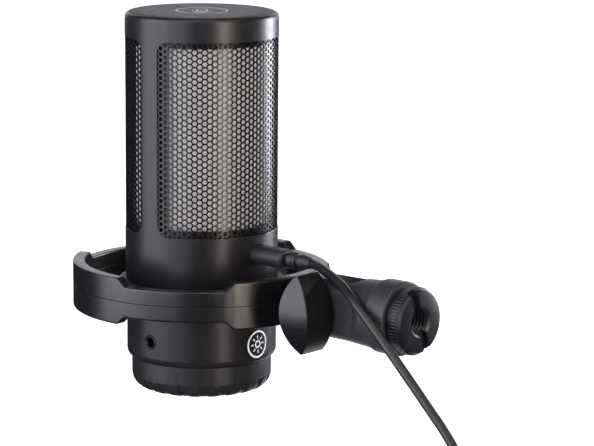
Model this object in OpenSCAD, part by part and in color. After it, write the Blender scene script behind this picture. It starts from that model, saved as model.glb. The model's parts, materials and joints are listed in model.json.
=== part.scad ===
// Side-address condenser microphone in a ring shock mount, on a swivel stem with a thread adapter.
// Millimetres. Origin: centre of the mouth of the stand thread. +X: out of that thread.
// +Z: up along the microphone's own axis. The microphone axis is mount_reach behind the origin.

/* [Microphone body] */
// Radius of the upper shell
body_r = 30; // [29.5:0.1:30]
// Height of the touch plate above the middle of the mount ring
top_h = 106.9; // [104:0.1:112]
// Lower edge of the two grille windows
window_low = 22.2; // [21.5:0.1:26]
// Upper edge of the two grille windows
window_high = 97.3; // [90:0.1:98]
// Width of each solid post between the windows, in degrees
post_deg = 16.3; // [12:0.1:24]

/* [Controls] */
// Outer radius of the gain knob at the foot
gain_r = 27.6; // [26:0.1:28.4]
// Height of the gain knob
gain_h = 12.4; // [10:0.1:13]
// Number of grip notches round the gain knob
gain_notches = 20; // [12:1:28]
// Diameter of the light button
button_d = 11.2; // [9:0.1:12]
// Inward travel of the light button
button_travel = 0.8; // [0.4:0.1:1]

/* [Shock mount] */
// Outer radius of the mount ring
ring_r = 50.7; // [50.2:0.1:51.4]
// Wall of the mount ring
ring_wall = 4.6; // [4:0.1:5]
// Height of the ring at its three lugs
lug_h = 18.1; // [16:0.1:18.6]
// Height of the ring between its lugs
band_h = 11.9; // [10:0.1:13]
// Diameter of the elastic cord
elastic_d = 2.6; // [2:0.1:3]

/* [Stem] */
// Distance from the microphone axis to the mouth of the stand thread
mount_reach = 110; // [109:0.5:114]
// Distance from the microphone axis to the tilt pivot
pivot_reach = 69.5; // [69:0.5:71]
// Radius of the stem at the fork
fork_r = 12; // [11.5:0.1:12.3]
// Radius of the collar at the end of the stem
collar_r = 14; // [13.5:0.1:15]
// Length of the wing of the clamp knob
wing_len = 30.5; // [26:0.5:31]
// Width of the wing of the clamp knob
wing_w = 14; // [12:0.5:16]

/* [Lead] */
// Diameter of the lead
lead_d = 3.6; // [3.4:0.1:3.8]
// Height of the surface that the coil lies on
table_z = -105; // [-106:1:-104]

/* [Hidden] */
$fn = 96;
eps = 0.01;

// Upper shell
shell_wall = 1;
shell_in = body_r - shell_wall;
split_z = 2;
rim_z = top_h - 1;
rim_r = body_r - 1.9;
shoulder_z = top_h - 1.8;
window_corner = 4.5;
window_half = 90 - post_deg / 2;
corner_deg = window_corner / body_r * 180 / PI;
grille_t = 0.6;
grille_out = shell_in;
grille_in = grille_out - grille_t;
grille_lap = 1.8;
grille_gap = 0.15;
panel_r = body_r - 0.15;

// Lower shell
low_r = body_r - 0.5;
low_wall = 2;
low_in = low_r - low_wall;
low_z = -29;
floor_t = 2.5;
usb_z = 14.6;
button_z = -21.2;
plunger_x = 22.6;
jack_z = -20.1;
jack_r = 1.78;

// Inside parts
frame_z = 18.6;
frame_post_deg = post_deg / 2 + 5.8;
capsule_z = 62;
capsule_r = 12.5;
capsule_len = 9;
capsule_x = -6;
board_r = 26;
main_z = 11.4;
control_z = -17.4;
board_t = 1.6;
shaft_r = 3;
bush_r = 3.5;
knob_top = low_z - 0.4;
knob_low = knob_top - gain_h;

// Mount ring
ring_in = ring_r - ring_wall;
lug_half = lug_h / 2;
band_half = band_h / 2;
lug_deg = 33;
step_deg = 4;
collar_in = body_r + 1;
collar_out = body_r + 2.4;
collar_low = -8.5;
collar_high = 1.5;
collar_screw_z = -2.5;
post_r = 1.5;
post_turn = 13;
outer_hook = ring_in - 1.8;
inner_hook = collar_out + 5.1;
hook_z = 4.4;
hook_gap = 0.4;
screw_deg = 27;

// Stem, measured along +X from the microphone axis
tongue_t = 8;
slot_t = 9.8;
cheek_y = 9.8;
bolt_r = 2.5;
bolt_hole_r = 2.58;
cheek_r = 15.5;
slot_to = pivot_reach + 14.5;
collar_from = mount_reach - 17;
stem_to = mount_reach - 7.5;
flange_t = 7;
flange_r = 12.8;
flange_x = mount_reach - flange_t;
coin_w = 3.6;
coin_depth = 2.4;
coin_lean = 20;
thread_r = 4.76;
shank_r = 7.9;
insert_in = 7.95;
insert_r = 10;
insert_len = 16;
eye_r = 8.5;
washer_t = 0.6;
nut_r = 4.6;
wing_lean = 5.4;
wing_y = -10.2;
wing_tip = 11.8;
wing_crown = 3.6;

// Lead, measured from the microphone axis
lead_r = lead_d / 2;
plug_x = shell_in;
grip_len = 16;
grip_flat = 1.3;
grip_r = 3.6;
plug_gap = 0.15;
collar_x = plug_x + grip_len;
boot_x = collar_x + 6.2;
boot_end = boot_x + 5.8;
coil_c = [193, -62.4];
coil_mid = 20;
coil_span = 3 * lead_d;
coil_high = 13;
coil_z = table_z + 0.8;
tie_t = 0.7;
tie_w = 9;
usb_a_z = table_z + 4.1;
usb_a_y = -88.4;
usb_a_x = 168;

// Route of the lead from the tip of the boot to the coil, millimetres from the microphone axis.
lead_route = [
    [57.1, 0, 14.6], [57.5, 0, 14.6],
    [61, -1.2, 14.4], [65, -3, 14], [69, -4.9, 13.4], [73, -6.6, 12.6],
    [77, -8.3, 11.6], [81, -10.1, 10.6], [86, -12.7, 8.8], [91, -15.2, 6.2], [96, -16.6, 3.4],
    [101, -17.4, -0.2], [108, -18.2, -6], [115, -18.9, -12.1], [123, -19.6, -19.2],
    [131, -20.3, -26.4], [139, -21, -33.8], [146, -22, -41.6], [152, -23.4, -50.8],
    [157, -25.2, -60.5], [161.6, -27.6, -70], [167, -30.6, -79], [174, -34, -86.4],
    [182, -37.6, -91], [190, -40.6, -93]
];

// Route of the lead's end, from the foot of the coil to the plug.
tail_route = [
    [193, -86, -102.4], [187, -86.2, -103], [180, -86.8, -102.7], [174, -87.8, -101.5],
    [168, -88.4, -100.9]
];

function unit(v) = v / norm(v);
function tangent(p, i) = unit(p[min(i + 1, len(p) - 1)] - p[max(i - 1, 0)]);
function side_of(t) = unit(cross(t, [0.2, 1, 0.1]));
function ring_points(p, i, r, n) =
    let (t = tangent(p, i), u = side_of(t), v = cross(t, u))
    [for (k = [0 : n - 1]) p[i] + r * (cos(360 * k / n) * u + sin(360 * k / n) * v)];

// One closed tube of n sides along the points p.
module sweep_tube(p, r, n) {
    m = len(p);
    points = [for (i = [0 : m - 1]) each ring_points(p, i, r, n)];
    walls = [
        for (i = [0 : m - 2]) for (k = [0 : n - 1]) let (l = (k + 1) % n)
        each [[i * n + k, i * n + l, (i + 1) * n + l], [i * n + k, (i + 1) * n + l, (i + 1) * n + k]]
    ];
    start_cap = [[for (k = [n - 1 : -1 : 0]) k]];
    end_cap = [[for (k = [0 : n - 1]) (m - 1) * n + k]];
    polyhedron(points = points, faces = concat(walls, start_cap, end_cap), convexity = 6);
}

// Everything is drawn from the microphone axis, then moved to the thread's origin.
module placed() {
    translate([-mount_reach, 0, 0]) children();
}

// A tube about Z from z0 to z1.
module tube(r_out, r_in, z0, z1) {
    translate([0, 0, z0]) difference() {
        cylinder(r = r_out, h = z1 - z0);
        translate([0, 0, -1]) cylinder(r = r_in, h = z1 - z0 + 2);
    }
}

// A rod along X, Y or Z from a point.
module rod_x(x0, x1, r, y = 0, z = 0) {
    translate([x0, y, z]) rotate([0, 90, 0]) cylinder(r = r, h = x1 - x0);
}

module rod_y(y0, y1, r, x = 0, z = 0) {
    translate([x, y1, z]) rotate([90, 0, 0]) cylinder(r = r, h = y1 - y0);
}

module rod_z(z0, z1, r, x = 0, y = 0) {
    translate([x, y, z0]) cylinder(r = r, h = z1 - z0);
}

// A piece of a tube about Z that spans half_deg each side of +X.
module arc_wall(r_in, r_out, z0, z1, half_deg) {
    translate([0, 0, z0]) rotate([0, 0, -half_deg])
        rotate_extrude(angle = 2 * half_deg, $fn = 180)
            translate([r_in, 0]) square([r_out - r_in, z1 - z0]);
}

// The shape of one window with its rounded corners, centred on +X and made smaller by inset.
module window_cut(inset = 0) {
    inner = shell_in - 2;
    outer = body_r + 2;
    corner = window_corner - inset;
    inset_deg = inset / body_r * 180 / PI;
    arc_wall(
        inner, outer, window_low + window_corner, window_high - window_corner, window_half - inset_deg
    );
    arc_wall(inner, outer, window_low + inset, window_high - inset, window_half - corner_deg);
    for (side = [-1, 1]) for (z = [window_low + window_corner, window_high - window_corner])
        rotate([0, 0, side * (window_half - corner_deg)]) rod_x(inner, outer, corner, 0, z);
}

// ---- Microphone ----

module upper_shell() {
    color("#26262b") placed() difference() {
        rotate_extrude($fn = 180) polygon([
            [shell_in, split_z], [body_r, split_z], [body_r, shoulder_z],
            [body_r - 0.6, shoulder_z + 1.2], [rim_r, top_h - 0.1],
            [rim_r - 0.1, top_h - 0.1], [rim_r - 0.1, rim_z - 3], [rim_r - 2.1, rim_z - 3],
            [rim_r - 2.1, rim_z - 5], [shell_in, rim_z - 6]
        ]);
        window_cut();
        rotate([0, 0, 180]) window_cut();
        for (y = [-grip_flat, grip_flat])
            rod_x(shell_in - 3, body_r + 2, grip_r + plug_gap, y, usb_z);
        translate([shell_in - 3, -grip_flat, usb_z - grip_r - plug_gap])
            cube([6, 2 * grip_flat, 2 * (grip_r + plug_gap)]);
    }
}

module touch_plate() {
    color("#303036") placed() difference() {
        rod_z(rim_z - 3, top_h, rim_r - 0.2);
        rod_z(rim_z - 4, rim_z - 1.4, rim_r - 3);
    }
}

module touch_board() {
    color("#1d5a36") placed() rod_z(rim_z - 3, rim_z - 1.5, rim_r - 3.3);
}

// One grille: a flange behind the shell and a hollow panel that fills the window.
module grille() {
    difference() {
        union() {
            arc_wall(
                grille_in, grille_out, window_low - grille_lap, window_high + grille_lap - 0.4,
                window_half + 4
            );
            intersection() {
                tube(panel_r, grille_in + 0.1, window_low - 1, window_high + 1, $fn = 180);
                window_cut(grille_gap);
            }
        }
        intersection() {
            tube(panel_r - grille_t, grille_in - 1, window_low - 1, window_high + 1, $fn = 180);
            window_cut(grille_gap + grille_t);
        }
    }
}

module front_grille() {
    color("#1a1a1c") placed() rotate([0, 0, 180]) grille();
}

module rear_grille() {
    color("#1a1a1c") placed() grille();
}

module gauze_liner() {
    color("#b9bcc2") placed() tube(25.8, 25.5, frame_z + 2.4, rim_z - 6.2);
}

module inner_frame() {
    color("#2b2b2e") placed() {
        difference() {
            union() {
                rod_z(frame_z, frame_z + 1.6, low_in);
                tube(25.4, 24.4, frame_z + 1.6, frame_z + 3.4);
                tube(28.2, 26, frame_z + 1.6, window_low + 2.4);
                for (a = [90, 270]) rotate([0, 0, a])
                    arc_wall(26.2, 28, window_low + 2.2, window_high - 2, frame_post_deg);
                tube(28.2, 25.9, window_high - 2.2, rim_z - 6.2);
            }
            rod_z(frame_z - 1, frame_z + 2, 4, 14, 10);
            for (a = [45, 165, 285]) rotate([0, 0, a]) rod_z(frame_z - 1, frame_z + 2, 1.3, 20);
        }
    }
}

module capsule_housing() {
    color("#b08d4a") placed() difference() {
        rod_x(capsule_x, capsule_x + capsule_len, capsule_r, 0, capsule_z);
        rod_x(capsule_x - 1, capsule_x + capsule_len - 2, capsule_r - 1, 0, capsule_z);
        rod_x(capsule_x, capsule_x + capsule_len + 1, 2, 0, capsule_z);
    }
}

module capsule_diaphragm() {
    color("#e2c25a") placed() rod_x(capsule_x + 0.3, capsule_x + 0.6, capsule_r - 1.02, 0, capsule_z);
}

module capsule_backplate() {
    color("#c8a24c") placed() difference() {
        rod_x(capsule_x + 1.2, capsule_x + 4.2, capsule_r - 1.02, 0, capsule_z);
        for (a = [0 : 60 : 300]) translate([0, 7 * cos(a), 7 * sin(a)])
            rod_x(capsule_x, capsule_x + 5, 0.8, 0, capsule_z, $fn = 24);
    }
}

module capsule_saddle() {
    color("#2f2f31") placed() translate([capsule_x + 1.5, 0, capsule_z]) rotate([0, 90, 0])
        tube(capsule_r + 2.5, capsule_r, 0, 6);
}

module capsule_bracket() {
    color("#8c8f94") placed() difference() {
        union() {
            translate([capsule_x + 2, 0, capsule_z]) rotate([0, 90, 0])
                tube(capsule_r + 4, capsule_r + 2.5, 0, 5);
            translate([capsule_x + 2, -4, frame_z + 1.6])
                cube([5, 8, capsule_z - frame_z - 1.6 - capsule_r - 3]);
            translate([capsule_x - 3, -9, frame_z + 1.6]) cube([14, 18, 2]);
        }
        rod_x(capsule_x - 1, capsule_x + 9, capsule_r + 2.5, 0, capsule_z);
    }
}

module capsule_board() {
    color("#1d5a36") placed() difference() {
        translate([capsule_x + 7.2, -7, frame_z + 6]) cube([1.4, 14, 22]);
        rod_x(capsule_x, capsule_x + 12, 1.2, 0, frame_z + 24);
    }
}

module light_guide() {
    color("#dfe3ea") placed() tube(24.2, 21.5, frame_z + 1.6, frame_z + 4.6);
}

module main_board() {
    color("#1d5a36") placed() difference() {
        rod_z(main_z, main_z + board_t, board_r);
        for (a = [60, 180, 300]) rotate([0, 0, a]) rod_z(main_z - 1, main_z + 3, 1.3, 22);
    }
}

module usb_socket() {
    color("#a9adb3") placed() difference() {
        union() {
            translate([20, -3, main_z + board_t]) cube([8.6, 6, 3.26]);
            for (y = [-2.9, 2.9]) rod_x(20, 28.6, 1.63, y, main_z + board_t + 1.63);
        }
        for (y = [-2.9, 2.9]) rod_x(21, 29, 1.33, y, main_z + board_t + 1.63);
        translate([21, -2.9, main_z + board_t + 0.3]) cube([8, 5.8, 2.66]);
    }
}

module board_spacers() {
    color("#c7a85a") placed() for (a = [60, 180, 300]) rotate([0, 0, a])
        translate([22, 0, 0]) tube(2.6, 1.3, control_z + board_t, main_z);
}

module control_board() {
    color("#1d5a36") placed() difference() {
        rod_z(control_z, control_z + board_t, board_r);
        for (a = [60, 180, 300]) rotate([0, 0, a]) rod_z(control_z - 1, control_z + 3, 1.3, 22);
    }
}

module headphone_socket() {
    color("#1b1b1d") placed() difference() {
        union() {
            translate([-3.2, -26.4, jack_z - 2.6]) cube([6.4, 14, 5.2]);
            rod_y(-low_r - 0.5, -26.4, 2.9, 0, jack_z);
        }
        rod_y(-low_r - 1.5, -low_r + 13.5, jack_r, 0, jack_z);
    }
}

module light_switch() {
    color("#3c3c40") placed() difference() {
        translate([18.5, -3, control_z - 7]) cube([6, 6, 7 - eps]);
        rod_x(plunger_x - button_travel - 1.2, 25, 1.3, 0, button_z);
    }
}

module light_button() {
    color("#101013") placed() {
        intersection() {
            rod_x(27, body_r + 3, button_d / 2, 0, button_z);
            rod_z(button_z - 9, button_z + 9, low_r + 0.25, $fn = 180);
        }
        rod_x(plunger_x, 27 + eps, 1.2, 0, button_z);
    }
}

module gain_control() {
    color("#6f7378") placed() {
        difference() {
            translate([-6.5, -6.5, low_z + floor_t + 1]) cube([13, 13, control_z - low_z - floor_t - 1]);
            for (x = [-4, 4]) rod_z(control_z - 3, control_z + 1, 0.8, x, 0, $fn = 24);
        }
        tube(bush_r, shaft_r + 0.08, low_z - 0.3, low_z + floor_t + 1);
    }
}

module gain_shaft() {
    color("#8e9196") placed() difference() {
        rod_z(knob_low + 4, low_z + floor_t + 0.9, shaft_r);
        translate([1.5, -5, knob_low + 3]) cube([5, 10, 6.5]);
    }
}

module gain_nut() {
    color("#8e9196") placed() translate([0, 0, low_z + 0.2]) difference() {
        cylinder(r = 5.6, h = 1.6, $fn = 6);
        translate([0, 0, -1]) cylinder(r = bush_r, h = 4);
    }
}

module lower_shell() {
    color("#242428") placed() difference() {
        rotate_extrude($fn = 180) polygon([
            [0, low_z], [low_r - 0.9, low_z], [low_r - 0.2, low_z + 0.7], [low_r, split_z],
            [shell_in - 0.1, split_z], [shell_in - 0.1, split_z + 5], [low_in, split_z + 5],
            [low_in, low_z + floor_t], [0, low_z + floor_t]
        ]);
        rod_z(low_z - 1, low_z + floor_t + 1, bush_r + 0.1);
        rod_z(low_z - 1, low_z + 1.9, 6.2);
        rod_x(low_in - 4, low_r + 2, button_d / 2 + 0.3, 0, button_z);
        rod_y(-low_r - 2, -low_in + 4, 3, 0, jack_z);
    }
}

module gain_knob() {
    color("#202024") placed() difference() {
        union() {
            difference() {
                rotate_extrude($fn = 180) polygon([
                    [0, knob_low], [gain_r - 3, knob_low], [gain_r - 1, knob_low + 0.8],
                    [gain_r, knob_low + 2.4], [gain_r, knob_top - 0.4], [gain_r - 0.4, knob_top],
                    [gain_r - 3, knob_top], [gain_r - 3, knob_low + 3], [0, knob_low + 3]
                ]);
                for (i = [0 : gain_notches - 1]) rotate([0, 0, (i + 0.5) * 360 / gain_notches])
                    translate([gain_r - 1.6, -2, knob_low - 1]) cube([4, 4, 5.5]);
            }
            rod_z(knob_low + 2, knob_top - 0.2, 6);
        }
        difference() {
            rod_z(knob_low + 3.6, knob_top + 1, shaft_r + 0.05);
            translate([1.55, -5, knob_low + 2.6]) cube([5, 10, 6.5]);
        }
    }
}

// ---- Suspension ----

// Children are placed at the three inner cord posts.
module at_inner_posts() {
    for (a = [60, 180, 300]) rotate([0, 0, a + post_turn]) children();
}

// Children are placed at the three outer cord posts.
module at_outer_posts() {
    for (a = [0, 120, 240]) rotate([0, 0, a + post_turn]) children();
}

// Children are placed at the three lugs of the ring.
module at_lugs() {
    for (a = [0, 120, 240]) rotate([0, 0, a]) children();
}

module suspension_collar() {
    color("#1e1e20") placed() difference() {
        union() {
            tube(collar_out, collar_in, collar_low, collar_high);
            at_inner_posts() {
                rod_x(collar_out - 0.6, inner_hook + 1.5, post_r, 0, -hook_z);
                rod_x(inner_hook + 1.5, inner_hook + 2.3, post_r + 0.9, 0, -hook_z);
            }
        }
        for (a = [45, 165, 285]) rotate([0, 0, a])
            rod_x(collar_in - 3, collar_out + 2, post_r, 0, collar_screw_z);
    }
}

module grip_sleeve() {
    color("#141416") placed() difference() {
        tube(collar_in, low_r, collar_low, collar_high, $fn = 180);
        for (a = [45, 165, 285]) rotate([0, 0, a])
            rod_x(low_in, collar_out + 2, post_r, 0, collar_screw_z);
    }
}

module collar_screws() {
    color("#77797d") placed() for (a = [45, 165, 285]) rotate([0, 0, a]) difference() {
        rod_x(body_r + 0.1, collar_out + 0.2, post_r, 0, collar_screw_z);
        rod_x(collar_out - 0.8, collar_out + 1, 0.75, 0, collar_screw_z, $fn = 6);
    }
}

// One straight run of cord from an outer post to an inner post.
module elastic_run(from_deg, to_deg) {
    a = [outer_hook * cos(from_deg), outer_hook * sin(from_deg), hook_z];
    b = [inner_hook * cos(to_deg), inner_hook * sin(to_deg), -hook_z];
    d = b - a;
    away = post_r + elastic_d / 2 + hook_gap;
    translate(a + away * unit(d)) rotate([0, acos(d[2] / norm(d)), atan2(d[1], d[0])])
        cylinder(d = elastic_d, h = norm(d) - 2 * away, $fn = 24);
}

module elastic_cords() {
    color("#0e0e10") placed() for (a = [0, 120, 240]) {
        elastic_run(a + post_turn, a + post_turn + 60);
        elastic_run(a + post_turn, a + post_turn - 60);
    }
}

// The section of the ring: a band with three raised lugs.
module ring_body() {
    mid = ring_r - ring_wall / 2;
    foot = mid * sin(lug_deg + step_deg);
    head = mid * sin(lug_deg);
    difference() {
        intersection() {
            tube(ring_r, ring_in, -lug_half, lug_half);
            union() {
                rod_z(-band_half, band_half, ring_r + 1);
                at_lugs() rotate([90, 0, 90]) translate([0, 0, 30]) linear_extrude(30) polygon([
                    [-foot, -band_half], [-head, -lug_half], [head, -lug_half], [foot, -band_half],
                    [foot, band_half], [head, lug_half], [-head, lug_half], [-foot, band_half]
                ]);
            }
        }
        at_lugs() for (s = [-screw_deg, screw_deg]) rotate([0, 0, s]) {
            rod_z(-lug_half - 1, 4, 1.25, mid, 0, $fn = 32);
            rod_z(-lug_half - 1, -lug_half + 1.8, 2, mid, 0, $fn = 32);
        }
        for (z = [-hook_z, hook_z]) rod_x(ring_in - 2, ring_r + 1, 1.25, 0, z, $fn = 32);
        at_outer_posts() rod_x(ring_in - 2, ring_in + 2.4, post_r, 0, hook_z);
    }
}

module ring_upper() {
    color("#232327") placed() intersection() {
        ring_body();
        rod_z(0.05, 20, ring_r + 2);
    }
}

module ring_lower() {
    color("#232327") placed() intersection() {
        ring_body();
        rod_z(-20, -0.05, ring_r + 2);
    }
}

module ring_screws() {
    color("#77797d") placed() at_lugs() for (s = [-screw_deg, screw_deg]) rotate([0, 0, s])
        translate([ring_r - ring_wall / 2, 0, 0]) {
            rod_z(-lug_half + 1.7, 3.8, 1.2, $fn = 32);
            difference() {
                rod_z(-lug_half + 0.4, -lug_half + 1.75, 1.9, $fn = 32);
                translate([-1.3, -0.25, -lug_half]) cube([2.6, 0.5, 1]);
                translate([-0.25, -1.3, -lug_half]) cube([0.5, 2.6, 1]);
            }
        }
}

module cord_posts() {
    color("#8b8e93") placed() at_outer_posts() {
        rod_x(outer_hook - 1.5, ring_in + 2.4, post_r, 0, hook_z);
        rod_x(outer_hook - 2.3, outer_hook - 1.5, post_r + 0.9, 0, hook_z);
    }
}

module hinge_tongue() {
    color("#232327") placed() difference() {
        union() {
            translate([ring_r - 3, -tongue_t / 2, -eye_r])
                cube([pivot_reach - ring_r + 3, tongue_t, 2 * eye_r]);
            rod_y(-tongue_t / 2, tongue_t / 2, eye_r, pivot_reach, 0);
        }
        rod_z(-20, 20, ring_r, $fn = 180);
        rod_y(-10, 10, bolt_hole_r, pivot_reach, 0);
        for (z = [-hook_z, hook_z]) rod_x(ring_r - 4, ring_r + 8, 1.2, 0, z, $fn = 32);
    }
}

module tongue_screws() {
    color("#77797d") placed() for (z = [-hook_z, hook_z]) {
        rod_x(ring_in, ring_r + 8, 1.18, 0, z, $fn = 32);
        difference() {
            rod_x(ring_in - 1.5, ring_in - 0.05, 2.1, 0, z, $fn = 32);
            rod_x(ring_in - 2, ring_in - 0.7, 0.9, 0, z, $fn = 6);
        }
    }
}

// ---- Stem ----

module friction_washers() {
    color("#1c1c1e") placed() for (side = [-1, 1]) difference() {
        y = side * (slot_t / 2 - washer_t / 2);
        rod_y(y - washer_t / 2, y + washer_t / 2, eye_r - 0.5, pivot_reach, 0);
        rod_y(y - 1, y + 1, bolt_hole_r, pivot_reach, 0);
    }
}

module stem() {
    color("#222226") placed() difference() {
        rotate([0, 90, 0]) rotate_extrude($fn = 180) polygon([
            [0, pivot_reach - fork_r - 1], [fork_r, pivot_reach - fork_r - 1],
            [fork_r + 0.2, pivot_reach + 10], [fork_r + 1.1, collar_from - 0.2],
            [collar_r - 0.6, collar_from], [collar_r, collar_from + 0.7],
            [collar_r, stem_to - 0.7], [collar_r - 0.7, stem_to], [0, stem_to]
        ]);
        difference() {
            translate([0, -20, -20]) cube([pivot_reach, 40, 40]);
            rod_y(-21, 21, fork_r, pivot_reach, 0);
        }
        translate([0, -slot_t / 2, -20]) cube([slot_to - slot_t / 2, slot_t, 40]);
        rod_z(-20, 20, slot_t / 2, slot_to - slot_t / 2, 0);
        for (side = [-1, 1]) translate([pivot_reach, side * cheek_y, 0]) rotate([-90 * side, 0, 0])
            cylinder(r1 = cheek_r, r2 = cheek_r + 5, h = 4);
        rod_y(-21, 21, bolt_hole_r, pivot_reach, 0);
        rod_y(cheek_y - 3.2, 21, nut_r, pivot_reach, 0, $fn = 6);
        rod_x(stem_to - insert_len, stem_to + 1, insert_r);
    }
}

module clamp_bolt() {
    color("#9a9da2") placed() {
        rod_y(wing_y - 3, cheek_y - 0.4, bolt_r, pivot_reach, 0);
        rod_y(wing_y - 3 - 2.6, wing_y - 3, bolt_r + 1.5, pivot_reach, 0, $fn = 6);
    }
}

module clamp_nut() {
    color("#8e9196") placed() difference() {
        rod_y(cheek_y - 3.2, cheek_y - 0.2, nut_r - 0.05, pivot_reach, 0, $fn = 6);
        rod_y(0, 20, bolt_hole_r, pivot_reach, 0);
    }
}

// Pointed oval of the wing: two equal arcs through the tips.
module wing_outline() {
    half = wing_len / 2;
    arc_r = (half * half + wing_w * wing_w / 4) / wing_w;
    intersection() {
        translate([arc_r - wing_w / 2, 0]) circle(r = arc_r, $fn = 240);
        translate([wing_w / 2 - arc_r, 0]) circle(r = arc_r, $fn = 240);
        square([wing_w + 2, wing_len - 0.8], center = true);
    }
}

module wing_knob() {
    crown_r = (wing_len * wing_len / 4 + wing_crown * wing_crown) / (2 * wing_crown);
    front = wing_y - wing_tip - wing_crown;
    color("#3b3b41") placed() difference() {
        intersection() {
            translate([pivot_reach, wing_y, 0]) rotate([90, 0, 0]) rotate([0, 0, wing_lean])
                linear_extrude(wing_tip + wing_crown) wing_outline();
            rod_x(pivot_reach - 20, pivot_reach + 20, crown_r, front + crown_r, 0, $fn = 240);
        }
        rod_y(wing_y - 3, wing_y + 1, bolt_r, pivot_reach, 0);
        rod_y(wing_y - 3 - 2.6, wing_y - 2.9, bolt_r + 1.5, pivot_reach, 0, $fn = 6);
    }
}

module thread_insert() {
    color("#b08d4a") placed() difference() {
        rod_x(stem_to - insert_len, stem_to - 0.3, insert_r);
        rod_x(stem_to - insert_len - 1, stem_to + 1, insert_in);
    }
}

module thread_adapter() {
    color("#1d1d20") placed() difference() {
        union() {
            rotate([0, 90, 0]) rotate_extrude($fn = 144) polygon([
                [0, flange_x], [flange_r - 1, flange_x], [flange_r - 1, flange_x + 1.2],
                [flange_r, flange_x + 1.2], [flange_r, flange_x + 5.4], [flange_r - 0.6, flange_x + 5.6],
                [flange_r - 1.4, mount_reach], [0, mount_reach]
            ]);
            rod_x(stem_to - insert_len + 1, mount_reach - 1, shank_r);
        }
        rod_x(stem_to - insert_len, mount_reach + 1, thread_r);
        rotate([coin_lean, 0, 0])
            translate([mount_reach - coin_depth, -coin_w / 2, -20]) cube([coin_depth + 1, coin_w, 40]);
    }
}

// ---- Lead ----

module usb_plug_shell() {
    color("#b4b8be") placed() {
        for (y = [-2.9, 2.9]) rod_x(23.5, plug_x, 1.2, y, usb_z);
        translate([23.5, -2.9, usb_z - 1.2]) cube([plug_x - 23.5, 5.8, 2.4]);
    }
}

module usb_plug_grip() {
    color("#1c1c1f") placed() {
        for (y = [-grip_flat, grip_flat]) rod_x(plug_x, collar_x, grip_r, y, usb_z);
        translate([plug_x, -grip_flat, usb_z - grip_r]) cube([grip_len, 2 * grip_flat, 2 * grip_r]);
    }
}

module usb_plug_boot() {
    color("#1a1a1d") placed() {
        rod_x(collar_x, collar_x + 1.4, 2.7, 0, usb_z);
        rod_x(collar_x + 1.3, boot_x, 3.3, 0, usb_z);
        translate([boot_x, 0, usb_z]) rotate([0, 90, 0])
            cylinder(r1 = 2.5, r2 = lead_r + 0.2, h = boot_end - boot_x);
    }
}

module lead_tube() {
    color("#18181a") placed() sweep_tube(lead_route, lead_r, 8);
}

module lead_tail() {
    color("#18181a") placed() sweep_tube(tail_route, lead_r, 8);
}

module lead_coil() {
    inner = coil_mid - coil_span / 2;
    outer = coil_mid + coil_span / 2;
    color("#18181a") placed() translate([coil_c[0], coil_c[1], coil_z])
        rotate_extrude($fn = 96) polygon([
            [inner, 1], [inner + 1, 0], [outer - 1, 0], [outer, 1],
            [outer, coil_high - 3], [outer - 2, coil_high], [inner + 2, coil_high], [inner, coil_high - 3]
        ]);
}

module coil_tie() {
    inner = coil_mid - coil_span / 2;
    color("#2d2d31") placed() translate([coil_c[0], coil_c[1], coil_z]) difference() {
        translate([inner - tie_t, -tie_w / 2, -tie_t])
            cube([coil_span + 2 * tie_t + 0.6, tie_w, coil_high + 2 * tie_t]);
        tube(coil_mid + coil_span / 2, inner, -eps, coil_high + eps);
    }
}

module usb_a_grip() {
    color("#1c1c1f") placed() {
        translate([usb_a_x - 34, usb_a_y - 8, usb_a_z - 4]) cube([26, 16, 8]);
        translate([usb_a_x, usb_a_y, usb_a_z]) rotate([0, -90, 0]) cylinder(r1 = 2.1, r2 = 3, h = 8);
    }
}

module usb_a_shell() {
    color("#b4b8be") placed() difference() {
        translate([usb_a_x - 52.5, usb_a_y - 6, usb_a_z - 2.25]) cube([18.5, 12, 4.5]);
        translate([usb_a_x - 53, usb_a_y - 5.7, usb_a_z - 0.2]) cube([17, 11.4, 2.15]);
    }
}

upper_shell();
touch_plate();
touch_board();
front_grille();
rear_grille();
gauze_liner();
inner_frame();
capsule_housing();
capsule_backplate();
capsule_diaphragm();
capsule_saddle();
capsule_bracket();
capsule_board();
light_guide();
main_board();
usb_socket();
board_spacers();
control_board();
headphone_socket();
light_switch();
light_button();
gain_control();
gain_shaft();
gain_nut();
lower_shell();
gain_knob();
suspension_collar();
grip_sleeve();
collar_screws();
elastic_cords();
ring_upper();
ring_lower();
ring_screws();
cord_posts();
hinge_tongue();
tongue_screws();
friction_washers();
stem();
clamp_bolt();
clamp_nut();
wing_knob();
thread_insert();
thread_adapter();
usb_plug_shell();
usb_plug_grip();
usb_plug_boot();
lead_tube();
lead_coil();
lead_tail();
coil_tie();
usb_a_grip();
usb_a_shell();
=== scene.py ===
import json
import math
from math import cos, pi, radians, sin, sqrt

import bmesh
import bpy
from mathutils import Matrix, Vector


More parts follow.
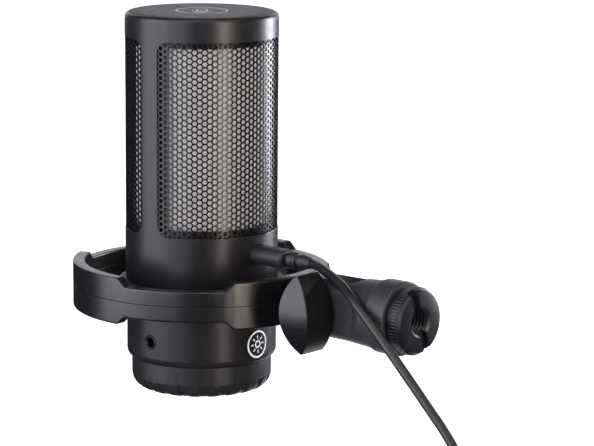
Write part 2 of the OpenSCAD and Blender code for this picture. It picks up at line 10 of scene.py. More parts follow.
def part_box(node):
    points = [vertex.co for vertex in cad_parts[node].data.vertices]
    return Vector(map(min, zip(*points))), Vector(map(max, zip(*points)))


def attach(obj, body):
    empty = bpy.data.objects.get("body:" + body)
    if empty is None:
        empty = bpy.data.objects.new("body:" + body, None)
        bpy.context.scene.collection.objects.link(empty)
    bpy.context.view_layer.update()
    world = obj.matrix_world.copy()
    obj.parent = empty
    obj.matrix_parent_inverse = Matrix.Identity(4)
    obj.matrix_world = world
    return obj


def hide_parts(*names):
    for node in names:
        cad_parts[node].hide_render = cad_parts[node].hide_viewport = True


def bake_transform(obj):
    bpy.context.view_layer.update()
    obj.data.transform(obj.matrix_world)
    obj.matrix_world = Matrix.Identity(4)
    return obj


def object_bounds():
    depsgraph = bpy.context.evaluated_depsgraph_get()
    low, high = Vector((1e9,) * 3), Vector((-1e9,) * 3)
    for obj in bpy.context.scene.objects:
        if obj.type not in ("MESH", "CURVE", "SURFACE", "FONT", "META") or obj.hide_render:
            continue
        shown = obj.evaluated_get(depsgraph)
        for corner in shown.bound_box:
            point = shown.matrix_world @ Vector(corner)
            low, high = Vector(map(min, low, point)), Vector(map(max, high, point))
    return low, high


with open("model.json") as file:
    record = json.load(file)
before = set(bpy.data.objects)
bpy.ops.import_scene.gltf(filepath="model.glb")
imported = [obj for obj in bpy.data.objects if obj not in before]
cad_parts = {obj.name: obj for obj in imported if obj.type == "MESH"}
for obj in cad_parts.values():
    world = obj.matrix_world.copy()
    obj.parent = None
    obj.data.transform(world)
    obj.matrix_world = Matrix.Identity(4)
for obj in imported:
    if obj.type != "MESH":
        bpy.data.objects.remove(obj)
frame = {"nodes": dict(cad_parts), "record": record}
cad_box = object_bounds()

# Shapes are written in millimetres from the microphone's own axis and become metres in the frame.
MM = 0.001
shell_low, shell_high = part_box("upper_shell")
AXIS = Vector(((shell_low.x + shell_high.x) / 2, 0, 0))


def place(point):
    """A point in millimetres from the microphone's axis, in metres in the frame."""
    return AXIS + Vector(point) * MM


def span(node):
    """The lowest and highest corners of a CAD node, in millimetres from the microphone's axis."""
    low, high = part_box(node)
    return (low - AXIS) / MM, (high - AXIS) / MM


def centre_of(node):
    """The middle of a CAD node, in millimetres from the microphone's axis."""
    low, high = span(node)
    return (low + high) / 2


def linked(name, data):
    """A new object in the scene."""
    obj = bpy.data.objects.new(name, data)
    bpy.context.scene.collection.objects.link(obj)
    return obj


# ---- Camera ----

CAMERA_FROM_AXIS = Vector((0.6833, -0.7396, 0.2150))
CAMERA_AZIMUTH = radians(40.6)
CAMERA_ELEVATION = radians(10.789)
CAMERA_ROLL = radians(0.445)
CAMERA_LENS = 157.64


def add_camera():
    """The camera, at the angle of the product view."""
    level = cos(CAMERA_ELEVATION)
    back = Vector((
        sin(CAMERA_AZIMUTH) * level, -cos(CAMERA_AZIMUTH) * level, sin(CAMERA_ELEVATION),
    ))
    right = Vector((cos(CAMERA_AZIMUTH), sin(CAMERA_AZIMUTH), 0))
    up = back.cross(right)
    c, s = cos(CAMERA_ROLL), sin(CAMERA_ROLL)
    data = bpy.data.cameras.new("camera")
    data.lens = CAMERA_LENS
    data.sensor_width = 36
    camera = linked("camera", data)
    facing = Matrix((c * right + s * up, c * up - s * right, back)).transposed()
    camera.matrix_world = Matrix.Translation(AXIS + CAMERA_FROM_AXIS) @ facing.to_4x4()
    bpy.context.scene.camera = camera


add_camera()


# ---- Shape tools ----

def rounded(corners, radius, steps=4):
    """A closed outline with its corners turned into arcs. A corner's third number is its own radius."""
    outline = []
    for i, corner in enumerate(corners):
        here = Vector(corner[:2])
        back = Vector(corners[i - 1][:2]) - here
        ahead = Vector(corners[(i + 1) % len(corners)][:2]) - here
        size = corner[2] if len(corner) > 2 else radius
        reach = min(size, 0.48 * back.length, 0.48 * ahead.length)
        if reach <= 0:
            outline.append(tuple(here))
            continue
        start, stop = here + back.normalized() * reach, here + ahead.normalized() * reach
        for k in range(steps + 1):
            t = k / steps
            outline.append(tuple((1 - t) ** 2 * start + 2 * t * (1 - t) * here + t * t * stop))
    return outline


def welded(mesh, distance, outward=False):
    """Joins the mesh's points that are within distance, in metres, and may turn its faces outward."""
    work = bmesh.new()
    work.from_mesh(mesh)
    bmesh.ops.remove_doubles(work, verts=work.verts, dist=distance)
    if outward:
        bmesh.ops.recalc_face_normals(work, faces=work.faces)
    work.to_mesh(mesh)
    work.free()


def solid(name, points, faces):
    """A mesh object from points in millimetres, with its faces turned outward."""
    mesh = bpy.data.meshes.new(name)
    mesh.from_pydata([place(p) for p in points], [], faces)
    welded(mesh, 1e-6, outward=True)
    return linked(name, mesh)


def oblong(x, y):
    """The corners of a rectangle between pairs of x and y."""
    return [(x[0], y[0]), (x[1], y[0]), (x[1], y[1]), (x[0], y[1])]


def angles(steps, start=0):
    """Even angles all the way round."""
    return [start + 2 * pi * k / steps for k in range(steps)]


def heading(line, i):
    """The direction of a line at its point i."""
    return (line[min(i + 1, len(line) - 1)] - line[max(i - 1, 0)]).normalized()


def turn_z(r, h, c, s):
    return (r * c, r * s, h)


def turn_x(r, h, c, s):
    return (h, r * c, r * s)


def turn_y(r, h, c, s):
    return (r * c, h, r * s)


def lathe(name, profile, turn=turn_z, centre=(0, 0, 0), steps=144, start=0):
    """A closed outline of (radius, height) points turned about an axis through centre."""
    sections = [
        [Vector(centre) + Vector(turn(r, h, cos(a), sin(a))) for r, h in profile]
        for a in angles(steps, start)
    ]
    return loft(name, sections, joined=True)


def loft(name, sections, joined=False):
    """A skin over closed sections of equal count, with flat ends, or joined into a ring."""
    n, m = len(sections[0]), len(sections)
    points = [p for section in sections for p in section]
    faces = []
    for k in range(m if joined else m - 1):
        after = (k + 1) % m
        faces += [
            (k * n + i, k * n + (i + 1) % n, after * n + (i + 1) % n, after * n + i) for i in range(n)
        ]
    if not joined:
        faces += [tuple(range(n)), tuple(range((m - 1) * n, m * n))]
    return solid(name, points, faces)


def flow(points, step):
    """A smooth line through the points, with a point at about every step."""
    points = [Vector(p) for p in points]
    line = []
    for i in range(len(points) - 1):
        p1, p2 = points[i], points[i + 1]
        p0 = points[i - 1] if i else 2 * p1 - p2
        p3 = points[i + 2] if i + 2 < len(points) else 2 * p2 - p1
        count = max(1, round((p2 - p1).length / step))
        for k in range(count):
            t = k / count
            line.append(0.5 * (
                2 * p1 + (p2 - p0) * t + (2 * p0 - 5 * p1 + 4 * p2 - p3) * t ** 2
                + (3 * p1 - p0 - 3 * p2 + p3) * t ** 3
            ))
    line.append(points[-1])
    return line


def swept(name, line, radius, sides=14):
    """A tube along a line. radius is a number, or a function of the length so far and the angle."""
    sections = []
    side = Vector((0.1, 0.2, 1))
    length = 0
    for i, here in enumerate(line):
        along = heading(line, i)
        side = (side - along * side.dot(along)).normalized()
        other = along.cross(side)
        length += (here - line[i - 1]).length if i else 0
        section = []
        for a in angles(sides):
            r = radius(length, a) if callable(radius) else radius
            section.append(here + r * (cos(a) * side + sin(a) * other))
        sections.append(section)
    return loft(name, sections)


def block(x, y, z, name="cutter"):
    """A box between pairs of x, y and z."""
    corners = [(x[i], y[j], z[k]) for i in (0, 1) for j in (0, 1) for k in (0, 1)]
    faces = [(0, 1, 3, 2), (4, 6, 7, 5), (0, 4, 5, 1), (2, 3, 7, 6), (0, 2, 6, 4), (1, 5, 7, 3)]
    return solid(name, corners, faces)


def rod(turn, ends, radius, centre=(0, 0, 0), sides=64, name="cutter"):
    """A straight rod along the axis of turn."""
    return lathe(name, oblong((0, radius), ends), turn, centre, sides)


def turned(obj, degrees, centre=(0, 0, 0)):
    """The object's mesh turned about a vertical line through centre."""
    middle, angle = place(centre), radians(degrees)
    c, s = cos(angle), sin(angle)
    for vertex in obj.data.vertices:
        x, y = vertex.co.x - middle.x, vertex.co.y - middle.y
        vertex.co.x, vertex.co.y = middle.x + c * x - s * y, middle.y + s * x + c * y
    return obj


def applied(obj):
    """The object with its modifiers made into mesh."""
    bpy.context.view_layer.update()
    graph = bpy.context.evaluated_depsgraph_get()
    mesh = bpy.data.meshes.new_from_object(obj.evaluated_get(graph))
    obj.modifiers.clear()
    obj.data = mesh
    return obj


def carved(obj, *cutters, operation="DIFFERENCE"):
    """The object with the cutters taken out of it, or added to it."""
    for cutter in cutters:
        cut = obj.modifiers.new("cut", "BOOLEAN")
        cut.operation = operation
        cut.solver = "EXACT"
        cut.object = cutter
        applied(obj)
        bpy.data.objects.remove(cutter)
    welded(obj.data, 0.02 * MM)
    return obj


def smooth(obj, bevel=0, segments=3, angle=35):
    """Shades the object smoothly, with its sharp edges rounded where bevel, in millimetres, isn't 0."""
    obj.data.shade_smooth()
    if bevel:
        edge = obj.modifiers.new("edge", "BEVEL")
        edge.width = bevel * MM
        edge.segments = segments
        edge.limit_method = "ANGLE"
        edge.angle_limit = radians(angle)
        edge.use_clamp_overlap = False
    weigh = obj.modifiers.new("weigh", "WEIGHTED_NORMAL")
    weigh.keep_sharp = True
    return applied(obj)


def creased(obj, angle):
    """Shades the object smoothly, with an edge that turns by more than angle left sharp."""
    obj.data.shade_smooth()
    obj.data.set_sharp_from_angle(angle=radians(angle))
    return obj


def true_round(obj, turn=turn_z, centre=(0, 0, 0), taper=0.02):
    """Exact normals on the walls that are round about an axis, so that cuts leave no marks in the shading."""
    mesh = obj.data
    mesh.set_sharp_from_angle(angle=radians(30))
    along = Vector(turn(0, 1, 0, 0))
    middle = place(centre)
    normals = [corner.vector.copy() for corner in mesh.corner_normals]
    for face in mesh.polygons:
        slope = face.normal.dot(along)
        if abs(slope) > taper:
            continue
        for i in face.loop_indices:
            out = mesh.vertices[mesh.loops[i].vertex_index].co - middle
            out = (out - along * out.dot(along)).normalized()
            side = face.normal.dot(out)
            if abs(side) > 0.985:
                normals[i] = (out if side > 0 else -out) * sqrt(1 - slope ** 2) + along * slope
    mesh.normals_split_custom_set(normals)
    return obj


def true_flat(obj, direction):
    """Exact normals on the flat faces that look along a direction."""
    mesh = obj.data
    normals = [corner.vector.copy() for corner in mesh.corner_normals]
    for face in mesh.polygons:
        if abs(face.normal.dot(Vector(direction))) > 0.9999:
            for i in face.loop_indices:
                normals[i] = face.normal.copy()
    mesh.normals_split_custom_set(normals)
    return obj


# ---- Materials ----

FINISHES = {}


def feed(tree, socket, value):
    """Gives an input a value, or links it to another node's output."""
    if isinstance(value, bpy.types.NodeSocket):
        tree.links.new(value, socket)
    else:
        socket.default_value = value


def fill(tree, target, **inputs):
    """A shader node with the named inputs set."""
    for name, value in inputs.items():
        feed(tree, target.inputs[name.replace("_", " ")], value)
    return target


def node(tree, kind, **inputs):
    """A new shader node with the named inputs set."""
    return fill(tree, tree.nodes.new(kind), **inputs)


def reckon(tree, operation, *values):
    """The output of a math node."""
    made = tree.nodes.new("ShaderNodeMath")
    made.operation = operation
    for socket, value in zip(made.inputs, values):
        feed(tree, socket, value)
    return made.outputs[0]


def mapped(tree, value, start, stop, low=0.0, high=1.0):
    """A value that runs from low to high while the one given runs from start to stop."""
    return node(
        tree, "ShaderNodeMapRange", Value=value, From_Min=start, From_Max=stop, To_Min=low, To_Max=high,
    ).outputs["Result"]


def ramped(tree, value, *stops):
    """A colour that follows a value through two stops, each a place and a colour."""
    ramp = node(tree, "ShaderNodeValToRGB", Fac=value)
    for element, (spot, colour) in zip(ramp.color_ramp.elements, stops):
        element.position = spot
        element.color = (*colour, 1)
    return ramp.outputs["Color"]


def new_finish(name):
    """An empty material: its tree, its shader and its object coordinates."""
    material = bpy.data.materials.new(name)
    material.use_nodes = True
    FINISHES[name] = material
    tree = material.node_tree
    return tree, tree.nodes["Principled BSDF"], tree.nodes.new("ShaderNodeTexCoord").outputs["Object"]


def mottle(tree, where, scale, low, high, detail=4.0):
    """A noise spread between low and high, which are both colours or both numbers."""
    noise = node(tree, "ShaderNodeTexNoise", Vector=where, Scale=scale, Detail=detail).outputs["Fac"]
    if isinstance(low, float):
        return mapped(tree, noise, 0.3, 0.7, low, high)
    return ramped(tree, noise, (0.3, low), (0.7, high))


def surface(
    name, colour, rough, grain=2500.0, bump=0.1, vary=0.15, metallic=0.0, specular=0.5, coat=0.0,
    worn=0.0, streak=(1, 1, 1),
):
    """A moulded, painted or plated surface: its grain, cloudy gloss, colour variation and worn edges."""
    tree, shader, where = new_finish(name)
    stretched = node(tree, "ShaderNodeMapping", Vector=where, Scale=streak).outputs["Vector"]
    low, high = (tuple(c * share for c in colour) for share in (1 - vary, 1 + vary))
    tint = mottle(tree, stretched, grain * 0.3, low, high)
    if worn:
        pointiness = node(tree, "ShaderNodeNewGeometry").outputs["Pointiness"]
        bare = (*(min(1, 4 * c + 0.03) for c in colour), 1)
        mix = tree.nodes.new("ShaderNodeMix")
        mix.data_type = "RGBA"
        for i, value in ((0, mapped(tree, pointiness, 0.52, 0.62, 0.0, worn)), (6, tint), (7, bare)):
            feed(tree, mix.inputs[i], value)
        tint = mix.outputs[2]
    relief = node(tree, "ShaderNodeTexNoise", Vector=stretched, Scale=grain, Detail=3.0).outputs["Fac"]
    dents = node(tree, "ShaderNodeBump", Height=relief, Strength=bump, Distance=0.0001)
    gloss = mottle(tree, where, grain * 0.05, rough * 0.9, rough * 1.1, 2.0)
    fill(
        tree, shader, Base_Color=tint, Roughness=gloss, Normal=dents.outputs["Normal"],
        Metallic=metallic, Specular_IOR_Level=specular, Coat_Weight=coat,
    )


def woven(name, thread, gap, pitch, rough):
    """A fine woven cloth of wire or thread round the microphone's axis, of the given pitch in metres. It
    glows faintly with painted light.
    """
    tree, shader, where = new_finish(name)
    parts = node(tree, "ShaderNodeSeparateXYZ", Vector=where).outputs
    angle = reckon(tree, "ARCTAN2", parts["Y"], reckon(tree, "SUBTRACT", parts["X"], AXIS.x))
    radius = span("gauze_liner")[1].x * MM
    weave = reckon(tree, "MAXIMUM", *(
        reckon(tree, "SINE", reckon(tree, "MULTIPLY", source, 2 * pi * scale))
        for source, scale in ((angle, radius / pitch), (parts["Z"], 1 / pitch))
    ))
    colour = ramped(tree, weave, (0, gap), (0.5, thread))
    dents = node(tree, "ShaderNodeBump", Height=weave, Strength=0.4, Distance=0.00006)
    # The weak emission in the weave's own colour is painted light that brightens the gauze.
    fill(
        tree, shader, Base_Color=colour, Normal=dents.outputs["Normal"], Emission_Color=colour,
        Emission_Strength=0.07, Roughness=mottle(tree, where, 60.0, rough * 0.9, rough * 1.1),
    )


surface("shell_black", (0.009, 0.009, 0.011), 0.33, 6000.0, 0.05)
surface("touch_disc", (0.022, 0.022, 0.026), 0.50, 5000.0, 0.16)
surface("knob_black", (0.011, 0.011, 0.013), 0.35, 5000.0, 0.06, worn=0.04)
surface("grille_black", (0.005, 0.005, 0.006), 0.26, 5000.0, 0.05)
woven("gauze_silver", (0.72, 0.70, 0.70), (0.40, 0.39, 0.40), 0.00032, 0.5)
surface("ring_plastic", (0.003, 0.003, 0.004), 0.31, 3500.0, 0.05, specular=0.8, worn=0.02)
surface("stem_plastic", (0.024, 0.024, 0.028), 0.43, 2600.0, 0.24)
surface("wing_grey", (0.004, 0.004, 0.005), 0.29, 3500.0, 0.05, specular=0.6)
surface("collar_plastic", (0.006, 0.006, 0.007), 0.42, 2500.0, 0.10)
surface("button_black", (0.010, 0.010, 0.012), 0.30, 4000.0, 0.04)
surface("adapter_black", (0.007, 0.007, 0.010), 0.34, 3000.0, 0.05, worn=0.2)
surface("screw_steel", (0.36, 0.36, 0.37), 0.32, 2500.0, 0.05, metallic=1.0)
surface("rubber_black", (0.012, 0.012, 0.013), 0.50, 2200.0, 0.14)
surface("elastic_black", (0.012, 0.012, 0.013), 0.75, 4000.0, 0.30, 0.4)
surface("washer_nylon", (0.012, 0.012, 0.013), 0.45, 1500.0, 0.06)
surface("brass", (0.55, 0.40, 0.17), 0.28, 2500.0, 0.05, metallic=1.0, streak=(1, 8, 8))
surface("gold_film", (0.85, 0.62, 0.24), 0.15, 900.0, 0.02, metallic=1.0)
surface("bracket_steel", (0.45, 0.45, 0.46), 0.30, 1800.0, 0.06, metallic=1.0)
surface("board_green", (0.012, 0.10, 0.035), 0.30, 900.0, 0.05, 0.4, coat=0.4)
surface("socket_metal", (0.55, 0.56, 0.58), 0.22, 2000.0, 0.04, metallic=1.0)
surface("jack_black", (0.006, 0.006, 0.007), 0.40, 3000.0, 0.08)
surface("light_diffuser", (0.78, 0.78, 0.80), 0.45, 1500.0, 0.04, 0.05)
surface("plug_black", (0.016, 0.016, 0.018), 0.46, 3500.0, 0.12)
surface("lead_black", (0.011, 0.011, 0.012), 0.33, 1500.0, 0.06)
surface("tie_black", (0.016, 0.016, 0.018), 0.85, 3500.0, 0.6, 0.4)

def show(obj, finish, body, *nodes):
    """Gives a piece its finish and its body, and lets it stand for CAD nodes."""
    obj.data.materials.clear()
    obj.data.materials.append(FINISHES[finish])
    if body:
        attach(obj, body)
    if nodes:
        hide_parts(*nodes)
    return obj


# ---- Lead ----

LEAD_D = 3.6
LEAD_ROUTE = [
    (57, 0, 14.6), (61, -1.2, 14.4), (65, -3, 14), (69, -4.9, 13.4), (73, -6.6, 12.6),
    (77, -8.3, 11.6), (81, -10.1, 10.6), (86, -12.7, 8.8), (91, -14.9, 6.3), (96, -16.4, 3.3),
    (101, -17.4, -0.2), (108, -18.2, -6), (115, -18.9, -12.1), (123, -19.6, -19.2),
    (131, -20.3, -26.4), (139, -21, -33.8), (146, -22, -41.6), (152, -23.4, -50.8),
    (157, -25.2, -60.5), (161.6, -27.6, -70), (167, -30.6, -79), (174, -34, -86.4),
    (182, -37.6, -91), (190, -40.6, -93),
]
TAIL_ROUTE = [
    (193, -86, -102.4), (187, -86.2, -103), (180, -86.8, -102.7), (174, -87.8, -101.5),
    (168, -88.4, -100.9),
]
ROW_RISE = LEAD_D * sqrt(3) / 2
# In degrees: between two points of the coil, the length of a change of turn, and from one to the next.
COIL_STEP = 8
CHANGE_SPREAD = 40
CHANGE_EVERY = 340


def coil_turns():
    """Radius and height of each turn of the coil, from its top row down to the table."""
    low, high = span("lead_coil")
    edge = (high.x - low.x) / 2
    wide = [edge - LEAD_D * (i + 0.5) for i in range(3)]
    narrow = [edge - LEAD_D * (i + 1) for i in range(2)]
    floor = low.z + LEAD_D / 2
    turns = [(r, floor + 3 * ROW_RISE) for r in narrow]
    turns += [(r, floor + 2 * ROW_RISE) for r in reversed(wide)]
    turns += [(r, floor + ROW_RISE) for r in narrow]
    turns += [(r, floor) for r in reversed(wide)]
    return turns


def coil_line():
    """The lead wound clockwise. Each change of turn comes a little before the last one's place."""
    centre = centre_of("lead_coil")
    turns = coil_turns()
    first = Vector(LEAD_ROUTE[-1]) - centre
    last = Vector(TAIL_ROUTE[0]) - centre
    begin = math.degrees(math.atan2(first.y, first.x))
    end = math.degrees(math.atan2(last.y, last.x))
    travel = begin - end + 360 * (len(turns) - 1)
    count = round(travel / COIL_STEP)
    line = []
    for k in range(1, count):
        gone = travel * k / count
        r, z = turns[0]
        for i in range(1, len(turns)):
            t = (gone - CHANGE_EVERY * i) / CHANGE_SPREAD + 0.5
            t = min(1, max(0, t))
            share = t * t * (3 - 2 * t)
            r += (turns[i][0] - turns[i - 1][0]) * share
            z += (turns[i][1] - turns[i - 1][1]) * share
        a = radians(begin - gone)
        line.append((centre.x + r * cos(a), centre.y + r * sin(a), z))
    return line


def add_lead():
    """The whole lead as one tube, from the tip of the boot through the coil to the far plug."""
    line = flow(LEAD_ROUTE + coil_line() + TAIL_ROUTE, 1.4)
    lead = smooth(swept("lead", line, LEAD_D / 2, 14))
    show(lead, "lead_black", None, "lead_tube", "lead_coil", "lead_tail")
    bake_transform(lead)
    return lead, [place(p) for p in line]


lead, lead_line = add_lead()


def add_boot():
    """The strain relief: a grooved collar and a ribbed cone that the lead comes out of."""
    low, high = span("usb_plug_boot")
    x, z = low.x, (low.z + high.z) / 2
    tip = high.x
    profile = [
        (0, x), (2.6, x, 0), (2.6, x + 1.3, 0.15), (3.3, x + 1.5, 0.3), (3.3, x + 3.9, 0.2),
        (3.05, x + 4.05, 0.1), (3.05, x + 4.3, 0.1), (3.25, x + 4.45, 0.2), (3.2, x + 5.4, 0.25),
        (2.3, x + 5.6, 0.15), (2.3, x + 6.2, 0.15), (2.85, x + 6.5, 0.35), (2.75, x + 8, 1.0),
        (2.2, tip - 1.2, 0.8), (2.0, tip, 0.2), (0, tip, 0),
    ]
    boot = smooth(lathe("boot", rounded(profile, 0), turn_x, (0, 0, z), 48))
    show(boot, "rubber_black", None, "usb_plug_boot")
    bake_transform(boot)
    return boot


def oval(x, z, size, flat=1.3):
    """The plug's flat oval section across X, of half height size."""
    section = []
    for a in angles(48):
        shift = flat if cos(a) > 0 else -flat
        section.append((x, shift + size * cos(a), z + size * sin(a)))
    return section


def add_plug_grip():
    """The moulded grip of the plug: a flat oval with softened ends."""
    low, high = span("usb_plug_grip")
    z = (low.z + high.z) / 2
    r = (high.z - low.z) / 2
    stations = [
        (low.x, r - 0.5), (low.x + 0.15, r - 0.2), (low.x + 0.5, r), (high.x - 1.4, r),
        (high.x - 0.9, r - 0.08), (high.x - 0.45, r - 0.3), (high.x - 0.15, r - 0.65), (high.x, r - 1.1),
    ]
    grip = smooth(loft("plug_grip", [oval(x, z, size) for x, size in stations]))
    return show(grip, "plug_black", "microphone", "usb_plug_grip")


def add_far_plug():
    """The plug at the far end: a grooved grip, its strain relief, its metal shell and its tongue."""
    low, high = span("usb_a_grip")
    y, z = (low.y + high.y) / 2, (low.z + high.z) / 2
    cone = high.x - 8
    outline = rounded(oblong((y - 8, y + 8), (z - 4, z + 4)), 1.6, 5)
    ribs = [cone - 3.5 - 2.2 * i for i in range(5)]
    stations = [(low.x, 0.92), (low.x + 0.5, 0.99), (low.x + 0.9, 1)]
    for rib in reversed(ribs):
        stations += [(rib - 0.9, 1), (rib - 0.7, 0.95), (rib + 0.1, 0.95), (rib + 0.3, 1)]
    stations += [(cone - 1.2, 1), (cone - 0.5, 0.97), (cone, 0.88)]
    grip = smooth(loft("far_plug_grip", [
        [(x, y + (a - y) * size, z + (b - z) * size) for a, b in outline] for x, size in stations
    ]))
    show(grip, "plug_black", "stem_group", "usb_a_grip")
    relief = [(0, cone - 0.5), (3, cone - 0.5, 0)]
    for i in range(4):
        x = cone + 0.2 + 2 * i
        r = 3 - 0.25 * i
        relief += [(r, x, 0.2), (r - 0.1, x + 1.2, 0.2), (r - 0.45, x + 1.35, 0.1), (r - 0.45, x + 1.75, 0.1)]
    relief += [(2.1, high.x, 0.1), (0, high.x, 0)]
    sleeve = smooth(lathe("far_plug_relief", rounded(relief, 0), turn_x, (0, y, z), 40))
    show(sleeve, "rubber_black", "stem_group")
    low, high = span("usb_a_shell")
    shell = block((low.x, high.x), (low.y, high.y), (low.z, high.z), "far_plug_shell")
    wall = 0.35
    inner = block((low.x - 1, high.x - 2), (low.y + wall, high.y - wall), (low.z + wall, high.z - wall))
    holes = [
        block((low.x + 5.2, low.x + 7.4), (y + side * 3 - 1.1, y + side * 3 + 1.1), (low.z - 1, high.z + 1))
        for side in (-1, 1)
    ]
    smooth(carved(shell, inner, *holes), 0.12, 2)
    show(shell, "socket_metal", "stem_group", "usb_a_shell")
    tongue = block(
        (low.x + 0.4, high.x - 1), (low.y + 0.5, high.y - 0.5), (z + 0.1, high.z - 0.5), "far_plug_tongue",
    )
    show(smooth(tongue, 0.15, 2), "light_diffuser", "stem_group")
    return [grip, sleeve, shell, tongue]


def add_coil_tie():
    """The hook-and-loop band round the coil."""
    low, high = span("coil_tie")
    y = (low.y + high.y) / 2
    half = (high.y - low.y) / 2
    thick = 0.7

    def band(line):
        sections = []
        rim = rounded(oblong((-half, half), (0, 1)), 0.3, 2)
        for i, here in enumerate(line):
            along = heading(line, i)
            out = Vector((along.y, -along.x)) * thick
            sections.append([(here.x + out.x * h, y + w, here.y + out.y * h) for w, h in rim])
        return sections

    inside = oblong((low.x + thick, high.x - thick), (low.z + thick, high.z - thick))
    outline = [Vector(p) for p in rounded(inside, 3, 8)]
    loop = smooth(loft("tie_band", band(outline + outline[:1])[:-1], joined=True))
    show(loop, "tie_black", "stem_group", "coil_tie")
    return loop


boot = add_boot()
plug_grip = add_plug_grip()
far_pieces = add_far_plug()
coil_tie = add_coil_tie()


# ---- Microphone body ----

def window_cutter(facing):
    """A curved slab with round corners, the shape of one window, with a fine chamfer at the outer face."""
    corner, chamfer = 4.5, 0.3
    radius = span("upper_shell")[1].x
    half = radians(81.85) * radius
    bottom, top = 22.2, 97.3
    flat = half - corner
    stations = [(1, sin(t), cos(t)) for t in (radians(9 * k) for k in range(11))]
    middle = [(-1 + 2 * k / 80, 0, 1) for k in range(1, 80)]
    stations = [(-1, -d, c) for _, d, c in reversed(stations)] + middle + stations
    points, faces = [], []

    def contour(share, d, c, grow):
        size = corner + grow
        return flat * share + size * d, bottom - grow + size * (1 - c), top + grow - size * (1 - c)

    for station in stations:
        near, wide = contour(*station, 0), contour(*station, chamfer)
        layers = [
            (radius - 3.5, near), (radius - 0.9 * chamfer, near),
            (radius + 0.1 * chamfer, wide), (radius + 3, wide),
        ]
        for layer, z in [(n, 1) for n in range(4)] + [(n, 2) for n in (3, 2, 1, 0)]:
            r, shape = layers[layer]
            a = shape[0] / radius + radians(facing)
            points.append((r * cos(a), r * sin(a), shape[z]))
    for k in range(len(stations) - 1):
        faces += [
            (8 * k + i, 8 * k + (i + 1) % 8, 8 * k + 8 + (i + 1) % 8, 8 * k + 8 + i) for i in range(8)
        ]
    for base in (0, 8 * (len(stations) - 1)):
        faces += [tuple(base + i for i in cap) for cap in ((0, 1, 6, 7), (1, 2, 5, 6), (2, 3, 4, 5))]
    return solid("cutter", points, faces)


def add_upper_shell():
    """The painted tube with its rolled top rim, two windows and the slot for the plug."""
    low, high = span("upper_shell")
    r, rim = high.x, high.z
    profile = rounded([
        (r - 1, low.z, 0.1), (r, low.z, 0.25), (r, rim - 1.9, 0.8), (r - 0.45, rim - 0.6, 0.8),
        (r - 1.85, rim, 0.4), (r - 1.95, rim - 3.9, 0), (r - 4, rim - 3.9, 0), (r - 4, rim - 5.9, 0),
        (r - 1, rim - 6.9, 0),
    ], 0.2, 5)
    shell = lathe("upper_shell_piece", profile, steps=180, start=pi / 360)
    plug_z = LEAD_ROUTE[0][2]
    cutter = loft("cutter", [oval(x, plug_z, 3.75) for x in (r - 3, r + 2)])
    carved(shell, window_cutter(0), window_cutter(180), cutter)
    true_round(smooth(shell))
    return show(shell, "shell_black", "microphone", "upper_shell")


def joined_up(name, parts):
    """One object out of several."""
    work = bmesh.new()
    for part in parts:
        work.from_mesh(part.data)
        bpy.data.objects.remove(part)
    mesh = bpy.data.meshes.new(name)
    work.to_mesh(mesh)
    work.free()
    return linked(name, mesh)


def stroke(line, width, low, high):
    """A flat printed stroke with round ends along a line of (x, y) points."""
    line = [Vector(p) for p in line]
    left, right = [], []
    for i, here in enumerate(line):
        along = heading(line, i)
        out = Vector((-along.y, along.x)) * width / 2
        left.append(here + out)
        right.append(here - out)
    caps = []
    for here, before in ((line[-1], line[-2]), (line[0], line[1])):
        along = (here - before).normalized()
        across = Vector((-along.y, along.x))
        caps.append([
            here + width / 2 * (cos(a) * across + sin(a) * along)
            for a in (pi * k / 6 for k in range(1, 6))
        ])
    outline = left + caps[0] + right[::-1] + caps[1]
    return loft("stroke", [[(p.x, p.y, low) for p in outline], [(p.x, p.y, high) for p in outline]])


def add_touch_plate():
    """The touch plate with a soft edge, a fine groove and a plain printed microphone in a ring."""
    high = span("touch_plate")[1]
    r, top = high.x, high.z
    profile = rounded([
        (0, top - 3, 0), (r - 0.6, top - 3, 0), (r, top - 2.6, 0.2), (r, top - 0.05, 0.35),
        (r - 1.5, top, 0.1), (r - 1.7, top - 0.12, 0.05), (r - 1.9, top - 0.12, 0.05),
        (r - 2.1, top, 0.1), (0, top, 0),
    ], 0.2, 4)
    plate = smooth(lathe("touch_plate_piece", profile, steps=180))
    show(plate, "touch_disc", "microphone", "touch_plate")
    ink, width = (top - 0.02, top + 0.03), 0.5
    lean = radians(40)
    right, up = Vector((cos(lean), sin(lean))), Vector((-sin(lean), cos(lean)))

    def bow(radius, height, side, steps=12):
        """Half a circle about (0, height), over it or under it."""
        half = [pi * k / steps for k in range(steps + 1)]
        return [(radius * cos(a), height + side * radius * sin(a)) for a in half]

    capsule = bow(2, 2.6, 1) + bow(2, -0.6, -1)[::-1] + bow(2, 2.6, 1)[:2]
    lines = [capsule, bow(3.6, -0.6, -1, 16), [(0, -4.2), (0, -6.4)], [(-2.2, -6.4), (2.2, -6.4)]]
    parts = [lathe("ring", oblong((10 - width / 2, 10 + width / 2), ink), steps=96)]
    parts += [stroke([right * x + up * y for x, y in line], width, *ink) for line in lines]
    return show(joined_up("touch_print", parts), "light_diffuser", "microphone")


